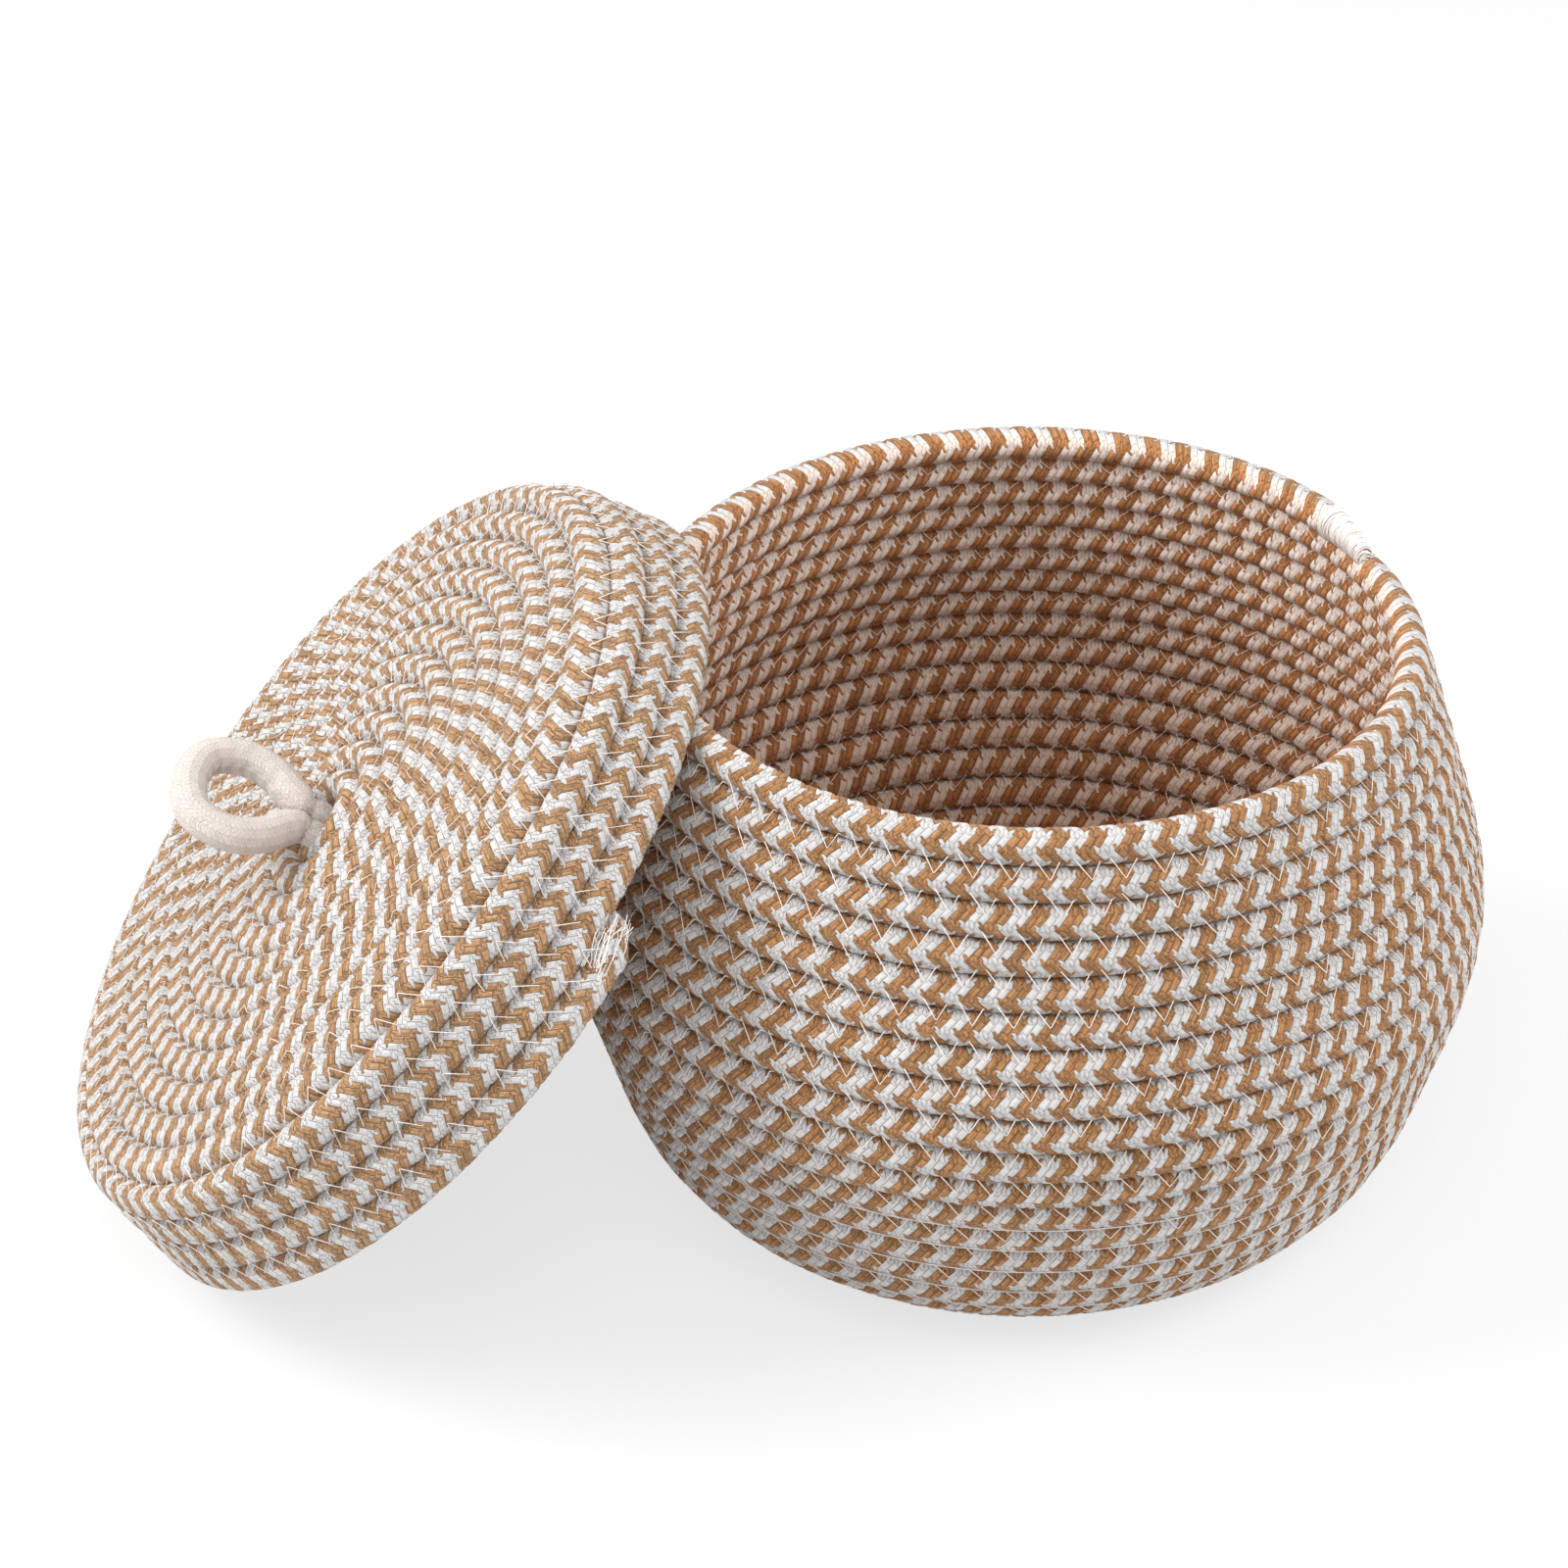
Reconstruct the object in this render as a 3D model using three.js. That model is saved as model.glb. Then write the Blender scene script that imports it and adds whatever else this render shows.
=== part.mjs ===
import * as THREE from 'three';

// Round rope basket with its lid off and leaning on the rim. Millimetres, +Z up.
// The origin is on the ground under the start of the base coil, in the middle of the flat base.

// Rope and its sewn rows
const ropeDiameter = 8;
const rowGap = 0.45;
const rowPitch = ropeDiameter + rowGap;
const ropeRadius = ropeDiameter / 2;
const stepsPerTurn = 20;
const coarseRadius = 45;
const coarseStride = 2;
const seatGap = 0.3;

// Corner radius of a faceted turn that encloses as much as the round one
const facetSwell = Math.PI / stepsPerTurn / Math.sin(Math.PI / stepsPerTurn);

// Six sided rope section: reach towards the rows beside it, and the flat that shows
const sectionFlatHalf = 0.525 * ropeRadius;
const sectionFlatReach = 0.9 * ropeRadius;
const section = [
  [ropeRadius, 0],
  [sectionFlatHalf, sectionFlatReach],
  [-sectionFlatHalf, sectionFlatReach],
  [-ropeRadius, 0],
  [-sectionFlatHalf, -sectionFlatReach],
  [sectionFlatHalf, -sectionFlatReach],
];

// Basket body, radii and heights of the rope's middle line
const rimRadius = 88.8;
const rimHeight = 147.3;
const shoulderRadius = 99.2;
const shoulderHeight = 115.2;
const bellyRadius = 109.4;
const bellyHeight = 74.8;
const hipRadius = 102.7;
const hipHeight = 41.5;
const footRadius = 94;
const footHeight = 17.6;
const heelRadius = 81.4;
const heelHeight = 5.4;
const soleRadius = 72;
const flatCut = ropeDiameter / 10;
const soleHeight = ropeRadius - flatCut;
const baseCoreRadius = 0.35 * rowPitch;
const wallEndHeight = 8.25;
const rimEndAngle = 33;
const baseLeadSteps = 6;

// Lid, radii and heights of the rope's middle line above its open edge
const lidClearance = 2.8;
const skirtFlare = 5.3;
const skirtHeight = 24;
const lidCornerDrop = 6.2;
const lidCornerInset = 8.4;
const lidDome = 2;
const lidTopRadius = rimRadius + ropeDiameter + lidClearance;
const lidCoreRadius = 9.8;
const lidCoreAngle = 69;
const lidLeadSteps = 4;

// How the lid leans
const lidTilt = 46.3;
const lidTurn = 10.7;
const lidSideways = -5.6;

// Cord loop on the lid
const cordDiameter = 8.6;
const cordRadius = cordDiameter / 2;
const cordSides = 8;
const loopLength = 30.5;
const loopHalfWidth = 12.8;
const loopTilt = 22;
const loopTurn = -15;
const loopSteps = 28;
const tailDiameter = 7;
const tailGap = 0.2;
const tailRadius = tailDiameter / 2;
const taperSteps = 5;
const rootAcross = 3;
const rootAlong = 0.4;

// The rope's outer ends: a sewn tip that tapers onto the row below
const rimTipLength = 16;
const skirtTipLength = 9;
const tipScale = 0.35;

const group = new THREE.Group();

function toRadians(degrees) {
  return degrees * Math.PI / 180;
}

function makeMaterial(color, roughness) {
  return new THREE.MeshStandardMaterial({ color, roughness, metalness: 0 });
}

// A closed tube from rings of points, with a flat fan on each end, faces out
function tubeGeometry(rings) {
  const sides = rings[0].length;
  const positions = [];
  for (const ring of rings) {
    for (const point of ring) {
      positions.push(point.x, point.y, point.z);
    }
  }
  const index = [];
  for (let i = 0; i + 1 < rings.length; i += 1) {
    for (let j = 0; j < sides; j += 1) {
      const a = i * sides + j;
      const b = i * sides + (j + 1) % sides;
      index.push(a, b, a + sides, b, b + sides, a + sides);
    }
  }
  const last = (rings.length - 1) * sides;
  for (let j = 1; j + 1 < sides; j += 1) {
    index.push(0, j + 1, j);
    index.push(last, last + j, last + j + 1);
  }
  const geometry = new THREE.BufferGeometry();
  geometry.setAttribute('position', new THREE.Float32BufferAttribute(positions, 3));
  if (signedVolume(positions, index) < 0) {
    for (let i = 0; i < index.length; i += 3) {
      [index[i], index[i + 1]] = [index[i + 1], index[i]];
    }
  }
  geometry.setIndex(index);
  geometry.computeVertexNormals();
  return geometry;
}

function signedVolume(positions, index) {
  const corner = (n) => new THREE.Vector3().fromArray(positions, 3 * n);
  let volume = 0;
  for (let i = 0; i < index.length; i += 3) {
    const a = corner(index[i]);
    volume += a.dot(corner(index[i + 1]).cross(corner(index[i + 2]))) / 6;
  }
  return volume;
}

// Rows of rope along a meridian. A step is a fraction of a turn, counted from the rope's outer end.
class Coil {
  constructor(meridian, endAngle, turnSign, normalSign, floor) {
    this.meridian = meridian;
    this.length = meridian.getLength();
    this.endAngle = toRadians(endAngle);
    this.turnSign = turnSign;
    this.normalSign = normalSign;
    this.floor = floor;
  }

  // Radius, height and direction of the middle line at a step
  frame(step) {
    const along = THREE.MathUtils.clamp(step / stepsPerTurn * rowPitch / this.length, 0, 1);
    const point = this.meridian.getPoint(along);
    const ahead = this.meridian.getTangent(along);
    const angle = this.endAngle + this.turnSign * 2 * Math.PI * step / stepsPerTurn;
    return { radius: point.x, height: point.z, dr: ahead.x, dh: ahead.z, angle };
  }

  place(frame, along, out) {
    const radius = frame.radius + along * frame.dr - this.normalSign * out * frame.dh;
    const height = frame.height + along * frame.dh + this.normalSign * out * frame.dr;
    const x = facetSwell * radius * Math.cos(frame.angle);
    const y = facetSwell * radius * Math.sin(frame.angle);
    return new THREE.Vector3(x, y, Math.max(height, this.floor));
  }

  ring(step, outline = section) {
    const frame = this.frame(step);
    return outline.map(([along, out]) => this.place(frame, along, out));
  }

  // A ring on the straight run between two whole steps
  ringBetween(step, share, outline = section) {
    const near = this.ring(step, outline);
    const far = this.ring(step + 1, outline);
    return near.map((point, i) => point.clone().lerp(far[i], share));
  }

  middle(step) {
    return this.place(this.frame(step), 0, 0);
  }

  // Last step before the middle line comes nearer to the axis than a core radius
  coreStep(coreRadius) {
    return Math.floor((this.length - coreRadius) / rowPitch * stepsPerTurn);
  }

  // First step where the middle line is lower than a height
  stepBelow(height) {
    let step = 0;
    while (this.frame(step).height > height) {
      step += 1;
    }
    return step;
  }

  // Turns the whole coil so that a step lies at an angle
  turnTo(step, angle) {
    this.endAngle = toRadians(angle) - this.turnSign * 2 * Math.PI * step / stepsPerTurn;
  }

  // Whole steps from one to another, every other one where the rows are small
  steps(first, last, leadSteps) {
    const list = [];
    for (let step = last - leadSteps; step >= first; step -= 1) {
      const small = this.frame(step).radius < coarseRadius;
      if (!small || (last - step) % coarseStride === 0) {
        list.unshift(step);
      }
    }
    list.push(last);
    return list;
  }
}

// Least distance between rings at least a quarter turn apart, on points along the section's sides
function leastGap(coil, steps) {
  const cuts = 4;
  const apart = stepsPerTurn / 4;
  const points = new Map(steps.map((step) => {
    const ring = coil.ring(step);
    const spread = ring.flatMap((point, i) => {
      const next = ring[(i + 1) % ring.length];
      return Array.from({ length: cuts }, (_, k) => point.clone().lerp(next, k / cuts));
    });
    return [step, spread];
  }));
  let least = Infinity;
  for (const step of steps) {
    for (const other of steps.filter((n) => n >= step + apart && n <= step + stepsPerTurn + 1)) {
      for (const a of points.get(step)) {
        for (const b of points.get(other)) {
          least = Math.min(least, a.distanceTo(b));
        }
      }
    }
  }
  return least;
}

function addMesh(parent, name, geometry, material) {
  const mesh = new THREE.Mesh(geometry, material);
  mesh.name = name;
  parent.add(mesh);
  return mesh;
}

const ropeMaterial = makeMaterial(0xd3b08a, 0.9);
const cordMaterial = makeMaterial(0xe9ddd2, 0.9);
const threadMaterial = makeMaterial(0xf2efec, 0.7);

// Basket body: the meridian runs from the rim down the wall and in to the axis
function bodyMeridian() {
  const path = new THREE.CurvePath();
  const points = [
    [rimRadius, rimHeight],
    [shoulderRadius, shoulderHeight],
    [bellyRadius, bellyHeight],
    [hipRadius, hipHeight],
    [footRadius, footHeight],
    [heelRadius, heelHeight],
    [soleRadius, soleHeight],
  ].map(([radius, height]) => new THREE.Vector3(radius, 0, height));
  path.add(new THREE.CatmullRomCurve3(points, false, 'centripetal'));
  path.add(new THREE.LineCurve3(points.at(-1), new THREE.Vector3(0, 0, soleHeight)));
  return path;
}

const body = new Coil(bodyMeridian(), rimEndAngle, 1, 1, 0);
const bodySplit = body.stepBelow(wallEndHeight);
const bodyCore = body.coreStep(baseCoreRadius);
const splitLength = body.middle(bodySplit).distanceTo(body.middle(bodySplit + 1));
const splitShare = seatGap / 2 / splitLength;

const wallSteps = body.steps(0, bodySplit, 1);
const wallRings = wallSteps.map((step) => body.ring(step));
wallRings.push(body.ringBetween(bodySplit, 0.5 - splitShare));
addMesh(group, 'wall_coil', tubeGeometry(wallRings), ropeMaterial);

const baseSteps = body.steps(bodySplit + 1, bodyCore, baseLeadSteps);
const baseRings = baseSteps.map((step) => body.ring(step));
baseRings.unshift(body.ringBetween(bodySplit, 0.5 + splitShare));
addMesh(group, 'base_coil', tubeGeometry(baseRings), ropeMaterial);

console.log(`wall_coil: least gap to itself ${leastGap(body, wallSteps).toFixed(3)} mm`);
console.log(`base_coil: least gap to itself ${leastGap(body, baseSteps).toFixed(3)} mm`);

// Lid: the meridian runs from the skirt's open edge up and in over the top
function lidMeridian() {
  const path = new THREE.CurvePath();
  const edge = new THREE.Vector3(lidTopRadius + skirtFlare, 0, 0);
  const skirtTop = new THREE.Vector3(lidTopRadius, 0, skirtHeight);
  const crown = skirtHeight + lidCornerDrop;
  const corner = new THREE.Vector3(lidTopRadius - skirtFlare / skirtHeight * lidCornerDrop, 0, crown);
  const shoulder = new THREE.Vector3(lidTopRadius - lidCornerInset, 0, crown);
  path.add(new THREE.LineCurve3(edge, skirtTop));
  path.add(new THREE.QuadraticBezierCurve3(skirtTop, corner, shoulder));
  path.add(new THREE.LineCurve3(shoulder, new THREE.Vector3(0, 0, crown + lidDome)));
  return path;
}

const lidGroup = new THREE.Group();
const lid = new Coil(lidMeridian(), 0, -1, -1, -Infinity);
const lidCore = lid.coreStep(lidCoreRadius);
lid.turnTo(lidCore, lidCoreAngle);
const lidSteps = lid.steps(0, lidCore, lidLeadSteps);
const lidMesh = addMesh(lidGroup, 'lid_coil', tubeGeometry(lidSteps.map((step) => lid.ring(step))), ropeMaterial);
console.log(`lid_coil: least gap to itself ${leastGap(lid, lidSteps).toFixed(3)} mm`);

// Cord loop: two squeezed tails pass up through the lid's core, and the loop stands on them
const lidTopHeight = skirtHeight + lidCornerDrop + lidDome + sectionFlatReach;
const lidUnderHeight = skirtHeight + lidCornerDrop + lidDome - sectionFlatReach;
const root = new THREE.Group();
root.position.set(rootAcross, rootAlong, 0);
root.rotation.z = toRadians(loopTurn);
lidGroup.add(root);

function tailsGeometry() {
  const straight = (tailDiameter + tailGap) / 2;
  const outline = new THREE.Shape();
  outline.absarc(straight, 0, tailRadius, -Math.PI / 2, Math.PI / 2, false);
  outline.absarc(-straight, 0, tailRadius, Math.PI / 2, 1.5 * Math.PI, false);
  const height = lidTopHeight - lidUnderHeight;
  const geometry = new THREE.ExtrudeGeometry(outline, { depth: height, bevelEnabled: false, curveSegments: 8 });
  return geometry.translate(0, 0, lidUnderHeight);
}
addMesh(root, 'loop_tails', tailsGeometry(), cordMaterial);

// The loop's middle line in its own plane, x across and z along, from one rounded end to the other
function loopPath() {
  const side = tailRadius + seatGap / 2;
  const spread = loopHalfWidth - side;
  const half = [
    [side, 0],
    [side + 0.12 * spread, 0.12 * loopLength],
    [side + 0.62 * spread, 0.32 * loopLength],
    [loopHalfWidth, 0.6 * loopLength],
    [0.72 * loopHalfWidth, 0.9 * loopLength],
  ];
  const points = [
    ...half,
    [0, loopLength],
    ...half.map(([x, z]) => [-x, z]).reverse(),
  ].map(([x, z]) => new THREE.Vector3(x, 0, z));
  return new THREE.CatmullRomCurve3(points, false, 'centripetal');
}

function loopGeometry() {
  const path = loopPath();
  const across = new THREE.Vector3(0, 1, 0);
  const ringAt = (centre, ahead, radius) => {
    const up = new THREE.Vector3().crossVectors(ahead, across).normalize();
    return Array.from({ length: cordSides }, (_, k) => {
      const turn = 2 * Math.PI * (k + 0.5) / cordSides;
      return centre.clone().addScaledVector(across, radius * Math.cos(turn)).addScaledVector(up, radius * Math.sin(turn));
    });
  };
  const rings = [];
  const capTurns = [80, 55, 28];
  const cap = (share, sign, turns) => turns.map((degrees) => {
    const ahead = path.getTangentAt(share);
    const centre = path.getPointAt(share).addScaledVector(ahead, sign * tailRadius * Math.sin(toRadians(degrees)));
    return ringAt(centre, ahead, tailRadius * Math.cos(toRadians(degrees)));
  });
  rings.push(...cap(0, -1, capTurns));
  for (let i = 0; i <= loopSteps; i += 1) {
    const grown = Math.min(i, loopSteps - i, taperSteps) / taperSteps;
    const radius = THREE.MathUtils.lerp(tailRadius, cordRadius, grown);
    rings.push(ringAt(path.getPointAt(i / loopSteps), path.getTangentAt(i / loopSteps), radius));
  }
  rings.push(...cap(1, 1, [...capTurns].reverse()));
  return tubeGeometry(rings);
}

const loopMesh = addMesh(root, 'handle_loop', loopGeometry(), cordMaterial);
loopMesh.position.z = lidTopHeight + seatGap + tailRadius;
loopMesh.rotation.x = toRadians(loopTilt);

// The rope's end narrows beyond the first step and comes down onto the next row
function tipGeometry(coil, tipLength) {
  const stepLength = coil.middle(0).distanceTo(coil.middle(1));
  const rings = [0, 0.5, 1].map((share) => {
    const scale = THREE.MathUtils.lerp(1, tipScale, share);
    const lowered = section.map(([along, out]) => [ropeRadius + scale * (along - ropeRadius), scale * out]);
    return coil.ring(-(seatGap + share * tipLength) / stepLength, lowered);
  });
  return tubeGeometry(rings);
}
addMesh(group, 'rim_tip', tipGeometry(body, rimTipLength), threadMaterial);
addMesh(lidGroup, 'skirt_tip', tipGeometry(lid, skirtTipLength), threadMaterial);

// Lean the lid: its lowest point is on the ground and it stands off the rows by the seat gap
group.add(lidGroup);
const leanAxis = toRadians(180 + lidTurn);
lidGroup.rotation.set(0, 0, leanAxis, 'ZYX');
lidGroup.rotateY(toRadians(lidTilt));
lidGroup.rotateZ(Math.PI / 2);
lidGroup.updateMatrixWorld(true);

function lowestPoint(mesh) {
  const place = mesh.geometry.getAttribute('position');
  const point = new THREE.Vector3();
  let low = Infinity;
  for (let i = 0; i < place.count; i += 1) {
    point.fromBufferAttribute(place, i).applyMatrix4(mesh.matrixWorld);
    low = Math.min(low, point.z);
  }
  return low;
}
const lidLift = -lowestPoint(lidMesh);

const contactCuts = 4;
function middlePoints(coil, steps, matrix) {
  const points = [];
  for (let i = 0; i + 1 < steps.length; i += 1) {
    const near = coil.middle(steps[i]);
    const far = coil.middle(steps[i + 1]);
    for (let k = 0; k < contactCuts; k += 1) {
      points.push(near.clone().lerp(far, k / contactCuts).applyMatrix4(matrix));
    }
  }
  return points;
}
const contactTurns = 6;
const wallPoints = middlePoints(body, wallSteps, new THREE.Matrix4());
const lidPoints = middlePoints(lid, lidSteps.filter((step) => step < contactTurns * stepsPerTurn), lidGroup.matrixWorld);
const sideways = new THREE.Vector3(-Math.sin(leanAxis), Math.cos(leanAxis), 0).multiplyScalar(lidSideways);
const away = new THREE.Vector3(Math.cos(leanAxis), Math.sin(leanAxis), 0);

function clearAt(distance) {
  const shift = away.clone().multiplyScalar(distance).add(sideways).setZ(lidLift);
  const reach = ropeDiameter + seatGap;
  return lidPoints.every((point) => {
    const moved = point.clone().add(shift);
    return moved.x > 0 || wallPoints.every((other) => moved.distanceTo(other) > reach);
  });
}
let clear = bellyRadius + 2 * lidTopRadius;
const contactStep = 0.1;
while (clearAt(clear - contactStep)) {
  clear -= contactStep;
}
lidGroup.position.copy(away.clone().multiplyScalar(clear).add(sideways).setZ(lidLift));
console.log(`lid stands ${clear.toFixed(1)} mm out and ${lidLift.toFixed(1)} mm up`);

// The straight start of the base coil is over the origin
const start = body.middle(bodyCore).lerp(body.middle(bodyCore - baseLeadSteps), 0.5);
group.position.set(-start.x, -start.y, 0);
console.log(`basket axis at ${-start.x.toFixed(2)}, ${-start.y.toFixed(2)} mm`);

export default group;
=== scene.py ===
"""Dresses the coiled rope basket, its leaning lid and its cord loop."""
import logging
import math
from dataclasses import dataclass, field, replace
from enum import Enum
from typing import Optional, Sequence

import bpy
import numpy as np
from mathutils import Matrix, Vector


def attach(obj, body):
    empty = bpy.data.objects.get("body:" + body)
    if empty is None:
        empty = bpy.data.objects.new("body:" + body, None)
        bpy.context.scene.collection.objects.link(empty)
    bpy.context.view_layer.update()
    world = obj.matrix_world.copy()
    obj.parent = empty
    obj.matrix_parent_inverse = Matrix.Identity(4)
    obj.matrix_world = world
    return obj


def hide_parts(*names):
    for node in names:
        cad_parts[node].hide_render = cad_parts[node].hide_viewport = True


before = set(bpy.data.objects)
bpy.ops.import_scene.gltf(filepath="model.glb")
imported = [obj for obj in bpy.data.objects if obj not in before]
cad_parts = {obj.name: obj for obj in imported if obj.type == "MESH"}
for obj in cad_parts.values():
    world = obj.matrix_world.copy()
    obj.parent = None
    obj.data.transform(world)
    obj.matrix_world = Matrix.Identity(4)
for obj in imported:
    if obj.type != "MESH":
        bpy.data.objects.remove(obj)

logging.basicConfig(level=logging.INFO, format="%(message)s")
LOG = logging.getLogger("basket")
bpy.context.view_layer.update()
MM = 0.001
SEED = 7

Colour = tuple[float, float, float]
Array = np.ndarray
Socket, Group, Piece = bpy.types.NodeSocket, bpy.types.NodeTree, bpy.types.Object
Material, Mesh = bpy.types.Material, bpy.types.Mesh
WHITE = (1.0, 1.0, 1.0, 1.0)
FLOAT, VECTOR = "NodeSocketFloat", "NodeSocketVector"

# The rope, its rows and the basket's axis, in millimetres, as in the solids
ROPE_RADIUS = 4.0
ROW_PITCH = 8.45
AXIS_X, AXIS_Y = 0.53, -2.70

# Column edges of the braid round the rope's section, in degrees from outwards
# and up to the row before, and whether the chevrons point forwards there.
COLUMN_EDGES = ((-4, 0), (49, 1), (130, 0), (205, 1), (260, 0), (314, 1))
COLUMN_STEPS = (4, 6, 5, 4, 4, 4)

# Strands of one column in a braid period, and the columns between which the
# rope's inner side starts and ends.
STRANDS = 4.0
INNER_START, INNER_END = (1.45, 1.8), (3.8, 4.1)


class Body(Enum):
    """The bodies that pieces ride on."""

    BASKET = "basket"
    LID = "lid"
    LOOP = "loop"


class Slot(Enum):
    """The record's material slots."""

    ROPE = "rope"
    CORD = "cord"
    THREAD = "thread"


class Face(Enum):
    """The side of a wall of rows that a seam of stitches shows on."""

    OUTER = 1
    INNER = -1


# Node helpers


class Tree:
    """Adds and links the nodes of one tree."""

    def __init__(self, tree: Group) -> None:
        """Keeps the shader or geometry node tree to fill."""
        self.tree = tree

    def put(self, socket: Socket, value: object) -> None:
        """Links an output to an input socket, or sets the socket's own value."""
        if isinstance(value, Socket):
            self.tree.links.new(value, socket)
        else:
            socket.default_value = value

    def add(self, kind: str, inputs: Optional[dict] = None, **settings: object) -> bpy.types.Node:
        """Adds a node, with its settings first and then its inputs by name or number."""
        node = self.tree.nodes.new(kind)
        for key, value in settings.items():
            setattr(node, key, value)
        for key, value in (inputs or {}).items():
            self.put(node.inputs[key], value)
        return node

    def math(self, operation: str, *values: object) -> Socket:
        """Adds a Math node and returns its output."""
        node = self.add("ShaderNodeMath", operation=operation)
        for i, value in enumerate(values):
            self.put(node.inputs[i], value)
        return node.outputs[0]

    def plus(self, first: object, second: object) -> Socket:
        """Adds two values."""
        return self.math("ADD", first, second)

    def minus(self, first: object, second: object) -> Socket:
        """Takes the second value from the first."""
        return self.math("SUBTRACT", first, second)

    def times(self, first: object, second: object) -> Socket:
        """Multiplies two values."""
        return self.math("MULTIPLY", first, second)

    def signed(self, share: object) -> Socket:
        """Stretches a value of 0 to 1 over -1 to 1."""
        return self.minus(self.times(share, 2.0), 1.0)

    def arch(self, signed: object) -> Socket:
        """Returns 1 where a signed value is 0, falling to 0 at -1 and 1."""
        return self.minus(1.0, self.times(signed, signed))

    def remap(
        self, value: object, low: object, high: object, start: object = 0.0, end: object = 1.0
    ) -> Socket:
        """Adds a smooth Map Range node and returns its output."""
        names = {"Value": value, "From Min": low, "From Max": high, "To Min": start, "To Max": end}
        node = self.add("ShaderNodeMapRange", names, interpolation_type="SMOOTHSTEP")
        return node.outputs[0]

    def mix(self, share: object, first: object, second: object, blend: str = "MIX") -> Socket:
        """Adds a colour Mix node and returns its output."""
        node = self.add("ShaderNodeMix", data_type="RGBA", blend_type=blend)
        self.put(node.inputs[0], share)
        self.put(node.inputs[6], first)
        self.put(node.inputs[7], second)
        return node.outputs[2]

    def bright(self, colour: object, value: object) -> Socket:
        """Scales a colour's brightness and returns the colour."""
        return self.add("ShaderNodeHueSaturation", {"Color": colour, "Value": value}).outputs[0]


def new_group(name: str, kind: str, inputs: Sequence[tuple], outputs: Sequence[tuple]) -> Tree:
    """Makes an empty group from rows of input name, type and default, and of output name and type."""
    group = bpy.data.node_groups.new(name, kind)
    for label, socket_type, default in inputs:
        socket = group.interface.new_socket(name=label, in_out="INPUT", socket_type=socket_type)
        if default is not None:
            socket.default_value = default
    for label, socket_type in outputs:
        group.interface.new_socket(name=label, in_out="OUTPUT", socket_type=socket_type)
    return Tree(group)


def new_material(name: str) -> tuple[Material, Tree]:
    """Makes a material with an empty tree and returns both."""
    material = bpy.data.materials.new(name)
    material.use_nodes = True
    material.node_tree.nodes.clear()
    return material, Tree(material.node_tree)


def seen_rays(tree: Tree) -> Socket:
    """Adds the mask of rays that show a surface to the camera, straight or mirrored."""
    path = tree.add("ShaderNodeLightPath").outputs
    mirrored = tree.math("MAXIMUM", path["Is Glossy Ray"], path["Is Transmission Ray"])
    return tree.math("MAXIMUM", path["Is Camera Ray"], mirrored)


# Shader node groups and finishes


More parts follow.
